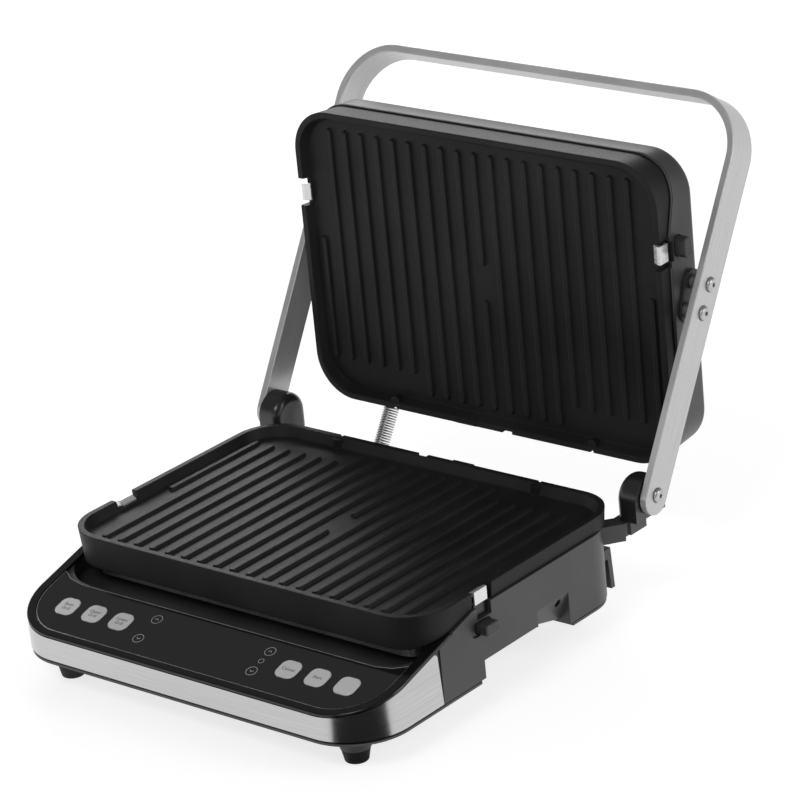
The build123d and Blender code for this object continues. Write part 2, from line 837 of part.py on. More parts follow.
# Glossy hinge towers, rounded on their inner side, with a bore for the pivot screw.
with BuildPart() as hinge_towers:
    for side in (-1, 1):
        with BuildSketch(world_side(side * boss_inner_x)):
            with Locations((hinge_y, hinge_z)):
                Circle(boss_radius)
            boss_front = hinge_y - boss_radius
            with Locations(((boss_front + boss_foot_rear) / 2, (hinge_z + bracket_top + 0.02) / 2)):
                Rectangle(boss_foot_rear - boss_front, hinge_z - bracket_top - 0.02)
        extrude(amount=side * (boss_outer_x - boss_inner_x))
    for side in (-1, 1):
        inner_faces = hinge_towers.faces().filter_by(
            lambda f: abs(f.center().X - side * boss_inner_x) < 0.01
        )
        soft = inner_faces[0].edges().filter_by(lambda e: e.center().Z > bracket_top + 1)
        fillet(soft, boss_rounding)
    with BuildSketch(world_side(-boss_outer_x - 1)):
        with Locations((hinge_y, hinge_z)):
            Circle(hinge_screw_radius + running_gap)
    extrude(amount=2 * boss_outer_x + 2, mode=Mode.SUBTRACT)

hinge_screws = domed_screw(boss_inner_x + 2, arm_outer_x, hinge_y, hinge_z, hinge_screw_radius)

with BuildPart() as cord_hooks:
    for side in (-1, 1):
        hook_x = side * 131
        with BuildSketch(world_side(hook_x)):
            with BuildLine():
                Polyline(
                    (base_rear - 0.7, 44),
                    (136.5, 44),
                    (138.5, 16),
                    (134.8, 16),
                    (133, 37),
                    (base_rear - 0.7, 37),
                    close=True,
                )
            make_face()
        extrude(amount=-side * 6)

# U-shaped flat handle bar, rounded at its two lower ends.
with BuildPart() as handle:
    with BuildSketch(arm_plane.offset(-arm_width / 2)) as blank:
        with Locations((0, (arm_length - 20) / 2)):
            Rectangle(2 * arm_outer_x, arm_length + 20)
        fillet(blank.vertices().sort_by(Axis.Y)[-2:], arm_bend)
    extrude(amount=arm_width)
    with BuildSketch(arm_plane.offset(-arm_width / 2)) as inside:
        with Locations((0, (arm_length - arm_thickness - 30) / 2)):
            Rectangle(2 * arm_inner_x, arm_length - arm_thickness + 30)
        fillet(inside.vertices().sort_by(Axis.Y)[-2:], arm_bend - arm_thickness)
    extrude(amount=arm_width, mode=Mode.SUBTRACT)
    with BuildSketch(arm_side.offset(-arm_outer_x)):
        with Locations((arm_end, 0)):
            Circle(arm_width / 2)
        with Locations(((arm_end + arm_length) / 2, 0)):
            Rectangle(arm_length - arm_end, arm_width)
    extrude(amount=2 * arm_outer_x, mode=Mode.INTERSECT)
    broad = handle.faces().sort_by(Axis((0, 0, 0), arm_plane.z_dir))
    fillet(broad[0].edges() + broad[-1].edges(), 0.7)
    with BuildSketch(arm_side.offset(-arm_outer_x - 1)):
        Circle(hinge_screw_radius + running_gap)
        with Locations((guide_distance, 0), (lid_pivot_distance, 0)):
            Circle(lid_screw_radius + running_gap)
    extrude(amount=2 * arm_outer_x + 2, mode=Mode.SUBTRACT)

with BuildPart() as arm_spacers:
    for side in (-1, 1):
        with BuildSketch(arm_side.offset(side * spacer_inner_x)):
            with Locations((guide_distance, 0), (lid_pivot_distance, 0)):
                Circle(spacer_radius)
                Circle(lid_screw_radius + running_gap, mode=Mode.SUBTRACT)
        extrude(amount=side * (arm_inner_x - spacer_inner_x - 0.02))

# Screws that carry the lid between the arms, each with a lock nut inside the lid.
with BuildPart() as lid_screws:
    for distance in (guide_distance, lid_pivot_distance):
        add(domed_screw(nut_inner_x + 1, arm_outer_x, *arm_point(distance), lid_screw_radius))
    for side in (-1, 1):
        with BuildSketch(arm_side.offset(side * nut_inner_x)):
            with Locations((guide_distance, 0), (lid_pivot_distance, 0)):
                RegularPolygon(4.4, 6)
        extrude(amount=side * nut_thickness)

# Lid housing: a tapered shell with a rounded back, closed by the upper plate.
with BuildPart() as lid_housing:
    with BuildSketch(upper_frame.offset(-lid_top_wall)):
        with Locations((0, half_depth)):
            RectangleRounded(2 * lid_half_width, plate_depth + 0.6, plate_corner)
    extrude(amount=lid_top_wall - lid_depth, taper=lid_draft)
    fillet(lid_housing.faces().sort_by(Axis.Y)[-1].edges(), lid_back_fillet)
    with BuildSketch(upper_frame.offset(lid_back - lid_depth)):
        with Locations((0, half_depth)):
            RectangleRounded(2 * lid_inner_half_width, plate_depth - 10, plate_corner - 5)
    extrude(amount=lid_depth, mode=Mode.SUBTRACT)
    # The walls step back near the free edge, where the plate's skirt is deeper.
    with BuildSketch(side_plane(upper_frame, -lid_half_width - 1)):
        with BuildLine():
            Polyline((-2, 0), (-2, -22.3), (8.7, -22.3), (48.6, -lid_top_wall), (48.6, 0), close=True)
        make_face()
    extrude(amount=2 * lid_half_width + 2, mode=Mode.SUBTRACT)
    # Flat pads that face the handle arms.
    pivot_y, pivot_z = arm_point(lid_pivot_distance)
    turn = math.radians(-90 - arm_lean + guide_sweep / 2)
    reach = lid_pivot_distance - guide_distance
    for side in (-1, 1):
        with BuildSketch(world_side(side * (lid_inner_half_width + 0.3))):
            with Locations((pivot_y + reach / 2 * math.cos(turn), pivot_z + reach / 2 * math.sin(turn))):
                SlotCenterToCenter(reach, 2 * pad_radius, rotation=math.degrees(turn))
        extrude(amount=side * (pad_outer_x - lid_inner_half_width - 0.3))
        # Round pivot hole and the curved slot for the guide screw.
        with BuildSketch(world_side(side * (lid_inner_half_width - 2))):
            with Locations((pivot_y, pivot_z)):
                Circle(lid_screw_radius + running_gap)
                with BuildLine():
                    sweep_arc = CenterArc(
                        (0, 0), reach, -90 - arm_lean - 1.0, guide_sweep + 2.0, mode=Mode.PRIVATE
                    )
                SlotArc(arc=sweep_arc, height=2 * lid_screw_radius + 0.5)
        extrude(amount=side * 12, mode=Mode.SUBTRACT)
        # Catch slot.
        with BuildSketch(side_plane(upper_frame, side * (lid_inner_half_width - 3))):
            with Locations((clip_y, -10)):
                Rectangle(catch_width + 1.4, 8)
        extrude(amount=side * 12, mode=Mode.SUBTRACT)
    # Release button hole with a shallow socket around it.
    with BuildSketch(side_plane(upper_frame, 3 - lid_inner_half_width)):
        with Locations((lid_button_y, lid_button_z)):
            RectangleRounded(
                button_length + 2 * button_gap, button_height + 2 * button_gap, button_corner + button_gap
            )
    extrude(amount=-12, mode=Mode.SUBTRACT)
    # Posts for the reflector, and two lugs on the hinge side.
    with BuildSketch(upper_frame.offset(lid_back - lid_depth)):
        for x in (-100, 100):
            with Locations((x, 40), (x, 160)):
                Circle(support_radius)
    extrude(amount=lid_depth - lid_back - reflector_bottom - 0.05)
    with BuildSketch(Plane.XY.offset(lid_lug_bottom)):
        with Locations((-13.5, lid_rim_y + 14), (19.5, lid_rim_y + 14)):
            Rectangle(17, 3.4)
    extrude(amount=10)
    with BuildSketch(sleeve_end_plane.offset(-16)):
        Circle(collar_radius + 0.1)
    extrude(amount=28, mode=Mode.SUBTRACT)

upper_grill_plate = grill_plate(upper_frame)
upper_heater = heater_rod(upper_frame)
upper_reflector = reflector_tray(upper_frame)

# Collar that guides the sleeve into the lid.
with BuildPart() as lid_sleeve_collar:
    with BuildSketch(sleeve_end_plane.offset(-8)):
        Circle(collar_radius)
    extrude(amount=11)
    with BuildSketch(sleeve_end_plane.offset(-20)):
        Circle(coil_radius + coil_wire + 0.3)
    extrude(amount=25, mode=Mode.SUBTRACT)

# Glands in the base's rear wall.
with BuildPart() as sleeve_gland:
    with BuildSketch(Plane.XZ.offset(-base_rear - 0.05)):
        with Locations((sleeve_x, sleeve_low_z)):
            Circle(8.6)
    extrude(amount=-3)
    with BuildSketch(Plane.XZ.offset(-base_rear - 0.05)):
        with Locations((sleeve_x, sleeve_low_z)):
            Circle(coil_radius + coil_wire + 1.0)
    extrude(amount=wall + 1)
    with BuildSketch(Plane.XZ.offset(-base_rear - 5)):
        with Locations((sleeve_x, sleeve_low_z)):
            Circle(coil_radius + coil_wire + 0.3)
    extrude(amount=12, mode=Mode.SUBTRACT)

with BuildPart() as cord_gland:
    with BuildSketch(Plane.XZ.offset(-base_rear - 0.05)):
        with Locations((-sleeve_x, sleeve_low_z)):
            Circle(7.5)
    extrude(amount=-6, taper=10)
    with BuildSketch(Plane.XZ.offset(-base_rear - 0.05)):
        with Locations((-sleeve_x, sleeve_low_z)):
            Circle(5.9)
    extrude(amount=wall + 1)
    with BuildSketch(Plane.XZ.offset(-base_rear - 8)):
        with Locations((-sleeve_x, sleeve_low_z)):
            Circle(3.3)
    extrude(amount=14, mode=Mode.SUBTRACT)


def sleeve_frame(distance):
    """Centre, direction and side vector of the sleeve's path at a distance along it."""
    bend_angle = math.radians(sleeve_rise)
    bend_length = sleeve_bend * bend_angle
    if distance < sleeve_run:
        angle = 0.0
        y = sleeve_start_y + distance
        z = sleeve_low_z
    elif distance < sleeve_run + bend_length:
        angle = (distance - sleeve_run) / sleeve_bend
        y = sleeve_start_y + sleeve_run + sleeve_bend * math.sin(angle)
        z = sleeve_low_z + sleeve_bend * (1 - math.cos(angle))
    else:
        angle = bend_angle
        rest = distance - sleeve_run - bend_length
        y = sleeve_start_y + sleeve_run + sleeve_bend * math.sin(angle) + rest * math.cos(angle)
        z = sleeve_low_z + sleeve_bend * (1 - math.cos(angle)) + rest * math.sin(angle)
    centre = Vector(sleeve_x, y, z)
    up = Vector(0, -math.sin(angle), math.cos(angle))
    return centre, up


def coil_point(turns):
    """Point on the coiled wire after the given number of turns."""
    centre, up = sleeve_frame(turns * coil_pitch)
    angle = 2 * math.pi * turns
    return centre + Vector(1, 0, 0) * (coil_radius * math.cos(angle)) + up * (coil_radius * math.sin(angle))


def coil_tangent(turns):
    """Direction of the coiled wire after the given number of turns."""
    return (coil_point(turns + 1e-4) - coil_point(turns - 1e-4)).normalized()


# Coiled sleeve around the lid's wiring: one wire, two arcs for each half turn.
coil_turns = math.floor(sleeve_length / coil_pitch * 2) / 2
with BuildPart() as cable_sleeve:
    with BuildLine() as coil_path:
        for step in range(int(coil_turns * 2)):
            start = coil_point(step / 2)
            finish = coil_point((step + 1) / 2)
            start_dir = coil_tangent(step / 2)
            finish_dir = coil_tangent((step + 1) / 2)
            chord = finish - start
            total = start_dir + finish_dir
            spread = 2 * (1 - start_dir.dot(finish_dir))
            across = chord.dot(total)
            arm = (math.sqrt(across * across + spread * chord.dot(chord)) - across) / spread
            joint = (start + finish + (start_dir - finish_dir) * arm) * 0.5
            joint_dir = (finish - finish_dir * arm) - (start + start_dir * arm)
            TangentArc(start, joint, tangent=start_dir)
            TangentArc(joint, finish, tangent=joint_dir)
    with BuildSketch(Plane(origin=coil_point(0), z_dir=coil_tangent(0))):
        Circle(coil_wire)
    sweep()

samples = [coil_point(number / 48) for number in range(int(coil_turns * 48))]
least = min(
    (samples[number] - samples[other]).length
    for number in range(0, len(samples), 6)
    for other in range(number + 24, min(number + 80, len(samples)))
)
print("coil turns", coil_turns, "least gap", round(least - 2 * coil_wire, 3))

lower_catch_left = catch(lower_frame, -1, base_catch_foot)
lower_catch_right = catch(lower_frame, 1, base_catch_foot)
upper_catch_left = catch(upper_frame, 1, lid_catch_foot)
upper_catch_right = catch(upper_frame, -1, lid_catch_foot)
lower_release_button = release_button(lower_frame, 1, base_button_y, base_button_z, base_half_width - hearth_wall)
upper_release_button = release_button(upper_frame, -1, lid_button_y, lid_button_z, lid_inner_half_width)

nodes = {
    "base_housing": base_housing.part,
    "bottom_cover": bottom_cover.part,
    "cover_screws": cover_screws.part,
    "rubber_feet": rubber_feet.part,
    "steel_band": steel_band.part,
    "control_panel": control_panel.part,
    "panel_frame": panel_frame.part,
    "control_board": control_board.part,
    "lower_grill_plate": lower_grill_plate,
    "lower_heater": lower_heater,
    "lower_reflector": lower_reflector,
    "lower_catch_left": lower_catch_left,
    "lower_catch_right": lower_catch_right,
    "lower_release_button": lower_release_button,
    "hinge_towers": hinge_towers.part,
    "hinge_screws": hinge_screws,
    "cord_hooks": cord_hooks.part,
    "cord_gland": cord_gland.part,
    "sleeve_gland": sleeve_gland.part,
    "cable_sleeve": cable_sleeve.part,
    "handle": handle.part,
    "arm_spacers": arm_spacers.part,
    "lid_screws": lid_screws.part,
    "lid_housing": lid_housing.part,
    "upper_grill_plate": upper_grill_plate,
    "upper_heater": upper_heater,
    "upper_reflector": upper_reflector,
    "upper_catch_left": upper_catch_left,
    "upper_catch_right": upper_catch_right,
    "upper_release_button": upper_release_button,
    "lid_sleeve_collar": lid_sleeve_collar.part,
}
key_places = [-key_x[2], -key_x[1], -key_x[0], key_x[0], key_x[1], key_x[2]]
for number, x in enumerate(key_places, start=1):
    nodes[f"key_{number}"] = panel_key(x)

for name, body in nodes.items():
    body.label = name
    export_step(body, f"parts/{name}.step")
    print(name, len(body.solids()), round(body.volume))
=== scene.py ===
# %% [markdown]
# # Dressing a contact grill
# The CAD model gives every solid of the grill at its true place. This lesson adds what a
# photograph shows beyond the solids: the finishes, the wound sleeve over the lid's wiring, the
# printed marks on the panel and the small trims. Lengths are in metres, except where a name
# ends in _mm.

# %% Load the solids
import math
import bpy
import bmesh
from mathutils import Matrix, Vector


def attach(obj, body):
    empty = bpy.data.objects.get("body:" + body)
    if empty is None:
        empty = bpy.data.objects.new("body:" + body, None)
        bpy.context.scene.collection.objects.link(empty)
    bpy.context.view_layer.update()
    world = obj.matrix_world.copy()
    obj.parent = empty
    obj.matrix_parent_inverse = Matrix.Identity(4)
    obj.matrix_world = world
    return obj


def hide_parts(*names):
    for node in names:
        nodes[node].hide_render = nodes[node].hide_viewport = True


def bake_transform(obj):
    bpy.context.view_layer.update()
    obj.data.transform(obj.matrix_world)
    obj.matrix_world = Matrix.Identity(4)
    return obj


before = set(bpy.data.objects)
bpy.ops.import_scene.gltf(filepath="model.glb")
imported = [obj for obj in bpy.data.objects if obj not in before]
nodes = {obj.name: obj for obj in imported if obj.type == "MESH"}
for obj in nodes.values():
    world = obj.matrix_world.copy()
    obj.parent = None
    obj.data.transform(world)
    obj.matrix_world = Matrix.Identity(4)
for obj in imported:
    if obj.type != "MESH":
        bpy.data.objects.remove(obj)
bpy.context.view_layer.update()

# %% [markdown]
# ## The camera
# The photograph looks at the grill from the right and from above, through a long lens, and is
# turned a little, so that uprights lean. A camera can be aimed by hand, but one built from a
# measured place, direction and roll gives the same view each time, so its three axes are written
# as a matrix. The Standard view shows colours as they are written, which suits a product picture.

# %% Place the camera
camera_place = Vector((1.4824, -1.5820, 1.0333))
camera_aim = Vector((-0.6134, 0.6965, -0.3723)).normalized()
camera_roll = math.radians(-5.61)
lens_mm, sensor_mm = 171.4, 36
shift_across, shift_up = -0.0015, -0.00125
farthest = 40

level_right = camera_aim.cross(Vector((0, 0, 1))).normalized()
level_up = level_right.cross(camera_aim)
camera_right = level_right * math.cos(camera_roll) + level_up * math.sin(camera_roll)
camera_up = camera_aim.cross(camera_right) * -1

lens = bpy.data.cameras.new("photo_camera")
lens.lens = lens_mm
lens.sensor_width = sensor_mm
lens.sensor_fit = "HORIZONTAL"
lens.shift_x = shift_across
lens.shift_y = shift_up
lens.clip_end = farthest
camera = bpy.data.objects.new("photo_camera", lens)
bpy.context.scene.collection.objects.link(camera)
camera.matrix_world = Matrix.Translation(camera_place) @ Matrix(
    (camera_right, camera_up, -camera_aim)
).transposed().to_4x4()
bpy.context.scene.camera = camera
bpy.context.scene.view_settings.view_transform = "Standard"
print("camera stands", round(camera_place.length, 2), "m from the grill")

# %% [markdown]
# ## Floor and light
# A product photograph uses a white sweep and large soft lamps. Here the floor is one pale plane.
# It looks white to the camera and in reflections, because it glows for those rays, and it still
# keeps the grill's shadow, because the rest of its white is lit. The sky is white near the
# horizon, as the sweep would be, and grey overhead, so that metal shows both light and dark.

# %% Floor
def deselect():
    """Clears the selection, because an operator works on all that is selected."""
    for thing in bpy.context.selected_objects:
        thing.select_set(False)


def link(material, start, end):
    """Joins an output socket to an input socket."""
    material.node_tree.links.new(start, end)


def add_node(material, kind, **values):
    """A shader node with the given input values; an underscore stands for a space."""
    made = material.node_tree.nodes.new("ShaderNode" + kind)
    for key, value in values.items():
        made.inputs[key.replace("_", " ")].default_value = value
    return made


def grey(level):
    """A neutral colour."""
    return (level, level, level)


floor_size = 12
sweep_glow = 0.75
sweep_tone = 0.5
deselect()
bpy.ops.mesh.primitive_plane_add(size=floor_size, location=(0, 0, 0))
floor = bpy.context.object
floor.name = "floor"

floor_paint = bpy.data.materials.new("white_sweep")
floor_paint.use_nodes = True
floor_tree = floor_paint.node_tree
floor_tree.nodes.remove(floor_tree.nodes["Principled BSDF"])
sweep_lit = add_node(floor_paint, "BsdfDiffuse", Color=(*grey(sweep_tone), 1))
sweep_white = add_node(floor_paint, "Emission", Color=(1, 1, 1, 1))
sweep_rays = add_node(floor_paint, "LightPath")
sweep_seen = add_node(floor_paint, "Math")
sweep_seen.operation = "MAXIMUM"
sweep_share = add_node(floor_paint, "Math")
sweep_share.operation = "MULTIPLY"
sweep_share.inputs[1].default_value = sweep_glow
sweep_sum = add_node(floor_paint, "AddShader")
link(floor_paint, sweep_rays.outputs["Is Camera Ray"], sweep_seen.inputs[0])
link(floor_paint, sweep_rays.outputs["Is Glossy Ray"], sweep_seen.inputs[1])
link(floor_paint, sweep_seen.outputs[0], sweep_share.inputs[0])
link(floor_paint, sweep_share.outputs[0], sweep_white.inputs["Strength"])
link(floor_paint, sweep_lit.outputs[0], sweep_sum.inputs[0])
link(floor_paint, sweep_white.outputs[0], sweep_sum.inputs[1])
link(floor_paint, sweep_sum.outputs[0], floor_tree.nodes["Material Output"].inputs["Surface"])
floor.data.materials.append(floor_paint)
print("floor:", floor_size, "m wide")

# %% [markdown]
# The sky's tone follows the height of the direction it is seen in. The camera sees plain white.
# A Mix node lists one group of sockets for each kind of data, so its colour sockets are reached
# by their places in that list.

# %% Sky
mix_first, mix_second, mix_result = 6, 7, 2
horizon_height, horizon_tone = 0.12, 0.95
overhead_height, overhead_tone = 0.4, 0.2

sky = bpy.data.worlds.new("studio")
sky.use_nodes = True
bpy.context.scene.world = sky
sky_back = sky.node_tree.nodes["Background"]
sky_rays = add_node(sky, "LightPath")
sky_way = add_node(sky, "TexCoord")
sky_split = add_node(sky, "SeparateXYZ")
sky_ramp = add_node(sky, "ValToRGB")
low_end, high_end = sky_ramp.color_ramp.elements
low_end.position, low_end.color = horizon_height, (*grey(horizon_tone), 1)
high_end.position, high_end.color = overhead_height, (*grey(overhead_tone), 1)
sky_pick = add_node(sky, "Mix")
sky_pick.data_type = "RGBA"
link(sky, sky_way.outputs["Generated"], sky_split.inputs[0])
link(sky, sky_split.outputs["Z"], sky_ramp.inputs[0])
link(sky, sky_rays.outputs["Is Camera Ray"], sky_pick.inputs[0])
link(sky, sky_ramp.outputs[0], sky_pick.inputs[mix_first])
sky_pick.inputs[mix_second].default_value = (1, 1, 1, 1)
link(sky, sky_pick.outputs[mix_result], sky_back.inputs["Color"])
sky_back.inputs["Strength"].default_value = 1.0
print("sky: tone", horizon_tone, "at the horizon and", overhead_tone, "overhead")

# %% [markdown]
# Three soft lamps do the rest: a wide one overhead and in front for the lit faces, one from the
# right for the bright faces of the handle, and one behind for the rims. A dark card stands
# behind the camera and gives polished metal its dark reflections. A second one lies on the floor
# before the front corner, where the steel band mirrors it as a dark gradient.

# %% Lamps and cards
def soft_lamp(name, place, target, width, height, watts):
    """An area lamp that faces its target."""
    lamp = bpy.data.lights.new(name, "AREA")
    lamp.shape = "RECTANGLE"
    lamp.size = width
    lamp.size_y = height
    lamp.energy = watts
    holder = bpy.data.objects.new(name, lamp)
    bpy.context.scene.collection.objects.link(holder)
    holder.location = place
    holder.rotation_euler = (Vector(target) - Vector(place)).to_track_quat("-Z", "Y").to_euler()


def dark_card(name, place, turn, width, height):
    """A black card that only reflections show."""
    deselect()
    bpy.ops.mesh.primitive_plane_add(size=1, location=(0, 0, 0))
    card = bpy.context.object
    card.name = name
    card.scale = (width, height, 1)
    card.rotation_euler = turn
    card.location = place
    bpy.ops.object.transform_apply(location=True, rotation=True, scale=True)
    card.visible_camera = False
    card.visible_diffuse = False
    card.visible_shadow = False
    card.data.materials.append(card_cloth)


soft_lamp("front_lamp", (0.5, -2.3, 2.7), (0, 0, 0.1), width=1.6, height=1.0, watts=26)
soft_lamp("side_lamp", (2.3, 0.6, 1.3), (0, 0, 0.15), width=0.9, height=1.4, watts=16)
soft_lamp("rear_lamp", (-1.9, 2.3, 1.5), (0, 0, 0.1), width=1.8, height=0.9, watts=30)

card_cloth = bpy.data.materials.new("black_cloth")
card_cloth.use_nodes = True
card_shader = card_cloth.node_tree.nodes["Principled BSDF"]
card_shader.inputs["Base Color"].default_value = (*grey(0.01), 1)
card_shader.inputs["Roughness"].default_value = 1
behind_camera = 0.6
dark_card("dark_card", camera_place - camera_aim * behind_camera,
          camera_aim.to_track_quat("-Z", "Y").to_euler(), width=1.5, height=2.6)
dark_card("corner_card", (0.316, -0.296, 0.001), (0, 0, 0), width=0.4, height=0.4)
print("three lamps and two cards")

# %% [markdown]
# ## Finishes
# No surface of the real grill is one flat colour. The coated plates have a fine sandy grain, the
# moulded walls a soft leather-like texture, and the metals thin brushed lines that run one way.
# All of that is noise on object coordinates: stretched noise gives brushed lines, even noise
# gives grain. One helper adds a layer of noise to a finish, as tone, roughness or bump. The
# others round the look of edges and turn a finish to another colour past a level.

# %% Helpers for finishes
noise_roughness = 0.6
tone_from, tone_to = 0.35, 0.68
rough_from, rough_to = 0.3, 0.7
edge_samples = 4


def shader_of(finish):
    """The finish's Principled shader."""
    return finish.node_tree.nodes["Principled BSDF"]


def new_finish(name, colour, roughness, metallic=0.0, **sockets):
    """A Principled material with its constant values on its own sockets."""
    finish = bpy.data.materials.new(name)
    finish.use_nodes = True
    shader = shader_of(finish)
    shader.inputs["Base Color"].default_value = (*colour, 1)
    shader.inputs["Roughness"].default_value = roughness
    shader.inputs["Metallic"].default_value = metallic
    for key, value in sockets.items():
        shader.inputs[key.replace("_", " ")].default_value = value
    return finish


def add_grain(finish, size_mm, stretch=(1, 1, 1), turn=(0, 0, 0), detail=3.0,
              tones=None, rough=None, bump_mm=0.0, strength=1.0):
    """One layer of noise whose features are size_mm across, times the stretch along each axis."""
    shader = shader_of(finish)
    place = add_node(finish, "TexCoord")
    mapping = add_node(finish, "Mapping")
    mapping.vector_type = "TEXTURE"
    mapping.inputs["Rotation"].default_value = turn
    mapping.inputs["Scale"].default_value = [size_mm / 1000 * s for s in stretch]
    noise = add_node(finish, "TexNoise", Scale=1.0, Detail=detail, Roughness=noise_roughness)
    link(finish, place.outputs["Object"], mapping.inputs[0])
    link(finish, mapping.outputs[0], noise.inputs["Vector"])
    if tones:
        ramp = add_node(finish, "ValToRGB")
        for element, position, tone in zip(ramp.color_ramp.elements, (tone_from, tone_to), tones):
            element.position = position
            element.color = (*tone, 1)
        link(finish, noise.outputs["Fac"], ramp.inputs[0])
        link(finish, ramp.outputs[0], shader.inputs["Base Color"])
    if rough:
        span = add_node(finish, "MapRange", From_Min=rough_from, From_Max=rough_to,
                        To_Min=rough[0], To_Max=rough[1])
        link(finish, noise.outputs["Fac"], span.inputs[0])
        link(finish, span.outputs[0], shader.inputs["Roughness"])
    if bump_mm:
        bump = add_node(finish, "Bump", Strength=strength, Distance=bump_mm / 1000)
        before = shader.inputs["Normal"].links
        if before:
            link(finish, before[0].from_socket, bump.inputs["Normal"])
        link(finish, noise.outputs["Fac"], bump.inputs["Height"])
        link(finish, bump.outputs[0], shader.inputs["Normal"])


def soften(finish, radius_mm):
    """Rounds the look of sharp edges; it comes before any grain with a bump."""
    edge = add_node(finish, "Bevel", Radius=radius_mm / 1000)
    edge.samples = edge_samples
    link(finish, edge.outputs[0], shader_of(finish).inputs["Normal"])


def turn_past(finish, axis, level_mm, width_mm, colour, metallic=None):
    """Past a level along one axis the finish turns to another colour, over a width.

    A negative width turns the finish below the level instead of above it.
    """
    shader = shader_of(finish)
    place = add_node(finish, "TexCoord")
    split = add_node(finish, "SeparateXYZ")
    span = add_node(finish, "MapRange", From_Min=(level_mm - width_mm / 2) / 1000,
                    From_Max=(level_mm + width_mm / 2) / 1000)
    mix = add_node(finish, "Mix")
    mix.data_type = "RGBA"
    link(finish, place.outputs["Object"], split.inputs[0])
    link(finish, split.outputs[axis], span.inputs[0])
    link(finish, span.outputs[0], mix.inputs[0])
    link(finish, shader.inputs["Base Color"].links[0].from_socket, mix.inputs[mix_first])
    mix.inputs[mix_second].default_value = (*colour, 1)
    link(finish, mix.outputs[mix_result], shader.inputs["Base Color"])
    if metallic is not None:
        share = add_node(finish, "MapRange", To_Min=shader.inputs["Metallic"].default_value,
                         To_Max=metallic)
        link(finish, span.outputs[0], share.inputs[0])
        link(finish, share.outputs[0], shader.inputs["Metallic"])


def dress(finish, *names):
    """Gives CAD nodes a finish through their material slots."""
    for name in names:
        mesh = nodes[name].data
        mesh.materials.clear()
        mesh.materials.append(finish)
    print(finish.name, "on", len(names), "nodes")


print("finish helpers: grain, soft edges and a turn of colour")

# %% [markdown]
# ### Coated plates
# The cast plates carry a charcoal non-stick coat: almost black, with a soft sheen and a grain
# like fine sand. Two layers of noise make it, one fine for the grain and one wide for the slow
# change of tone that use and casting leave.

# %% Non-stick coat
plate_coat = new_finish("nonstick_coat", (0.012, 0.012, 0.013), 0.5, Specular_IOR_Level=0.2)
soften(plate_coat, 1.3)
add_grain(plate_coat, 60, detail=2, tones=((0.011, 0.011, 0.0115), (0.019, 0.019, 0.02)))
add_grain(plate_coat, 0.8, detail=2, rough=(0.42, 0.58), bump_mm=0.05, strength=0.5)
dress(plate_coat, "lower_grill_plate", "upper_grill_plate")

# %% [markdown]
# ### Moulded plastics
# The base and the lid shell are dark grey plastic with a spark-eroded texture. The cover below
# the base is paler, and above a level it is painted black, as painted shade for the groove that
# shows as a line under the walls. The panel's moulding is polished, and the panel itself is a
# smooth black sheet on which only faint wiping marks break the gloss.

# %% Walls, cover and panel
wall_plastic = new_finish("matte_wall_plastic", (0.03, 0.03, 0.031), 0.4,
                          Specular_IOR_Level=0.6)
soften(wall_plastic, 0.6)
add_grain(wall_plastic, 45, detail=2, tones=((0.032, 0.032, 0.033), (0.046, 0.046, 0.047)))
add_grain(wall_plastic, 0.5, detail=2, rough=(0.36, 0.48), bump_mm=0.03, strength=0.4)
dress(wall_plastic, "base_housing", "lid_housing", "cord_hooks")

groove_shade_level_mm = 21.4
cover_plastic = new_finish("floor_plastic", (0.1, 0.1, 0.102), 0.6)
add_grain(cover_plastic, 30, detail=2, tones=((0.085, 0.085, 0.087), (0.12, 0.12, 0.122)))
add_grain(cover_plastic, 0.6, detail=2, rough=(0.5, 0.7), bump_mm=0.05, strength=0.5)
# Above this level the cover is painted near black: painted shade for the groove under the walls.
turn_past(cover_plastic, "Z", groove_shade_level_mm, 0.3, grey(0.004))
dress(cover_plastic, "bottom_cover")

panel_gloss = new_finish("panel_gloss", (0.008, 0.008, 0.009), 0.05,
                         Coat_Weight=0.4, Coat_Roughness=0.03)
add_grain(panel_gloss, 30, stretch=(2.5, 1, 1), turn=(0, 0, 0.4), detail=4, rough=(0.03, 0.11))
add_grain(panel_gloss, 80, detail=1, bump_mm=0.06, strength=0.15)
dress(panel_gloss, "control_panel")

moulding_gloss = new_finish("moulding_gloss", (0.004, 0.004, 0.0045), 0.14)
soften(moulding_gloss, 0.5)
add_grain(moulding_gloss, 18, detail=3, rough=(0.1, 0.2))
add_grain(moulding_gloss, 1.2, detail=2, bump_mm=0.01, strength=0.3)
dress(moulding_gloss, "panel_frame")

# %% Buttons, rubber and keys
button_plastic = new_finish("button_plastic", (0.03, 0.03, 0.032), 0.4)
add_grain(button_plastic, 0.5, detail=2, tones=((0.024, 0.024, 0.026), (0.036, 0.036, 0.038)),
          rough=(0.34, 0.46), bump_mm=0.03, strength=0.4)
dress(button_plastic, "lower_release_button", "upper_release_button")

foot_rubber = new_finish("foot_rubber", grey(0.018), 0.75)
add_grain(foot_rubber, 0.7, tones=(grey(0.014), grey(0.024)), rough=(0.68, 0.85),
          bump_mm=0.06, strength=0.5)
dress(foot_rubber, "rubber_feet", "cord_gland", "sleeve_gland", "lid_sleeve_collar")

key_silver = new_finish("key_silver", grey(0.75), 0.38, metallic=0.1)
add_grain(key_silver, 0.35, detail=1, tones=(grey(0.7), grey(0.8)), rough=(0.32, 0.46),
          bump_mm=0.01, strength=0.3)
dress(key_silver, *[f"key_{number}" for number in range(1, 7)])

# %% [markdown]
# ### Metals
# The band and the handle are brushed with fine lines along their length. On the handle the lines
# follow the bar round its bends, so they are noise that only changes across the bar's width. The
# bar leans back, and the mapping is turned by that lean. The catches are bright where they grip
# the plate and dark past their step, where the photograph shows them in the shade.

